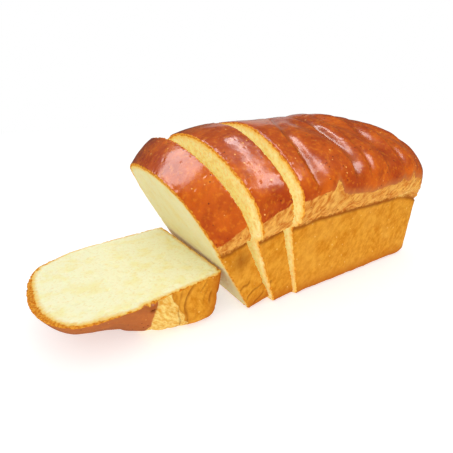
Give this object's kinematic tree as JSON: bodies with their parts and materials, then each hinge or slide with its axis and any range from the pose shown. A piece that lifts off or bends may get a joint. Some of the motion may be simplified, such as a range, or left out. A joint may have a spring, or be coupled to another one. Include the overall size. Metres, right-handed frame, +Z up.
{
  "type": "tin loaf of bread",
  "caption": "Glazed tin loaf with a mushroom top, cut open at one end, with leaning slices propped by the heel, which lies flat.",
  "frame": {"origin": "on the table, under the middle of all the pieces", "axes": "+X along the loaf, from the heel towards the uncut end; +Y across it, away from the side shown; +Z up"},
  "size_m": [0.266, 0.116, 0.1033],
  "materials": {
    "crust": "egg-washed bread crust, glossy deep brown on the dome, matte golden on the tin sides",
    "crumb": "pale yellow, fine-pored, matte bread crumb"
  },
  "bodies": {
    "root": {"loaf": "crust", "inner_slice": "crust", "outer_slice": "crust", "heel": "crumb"}
  },
  "joints": []
}
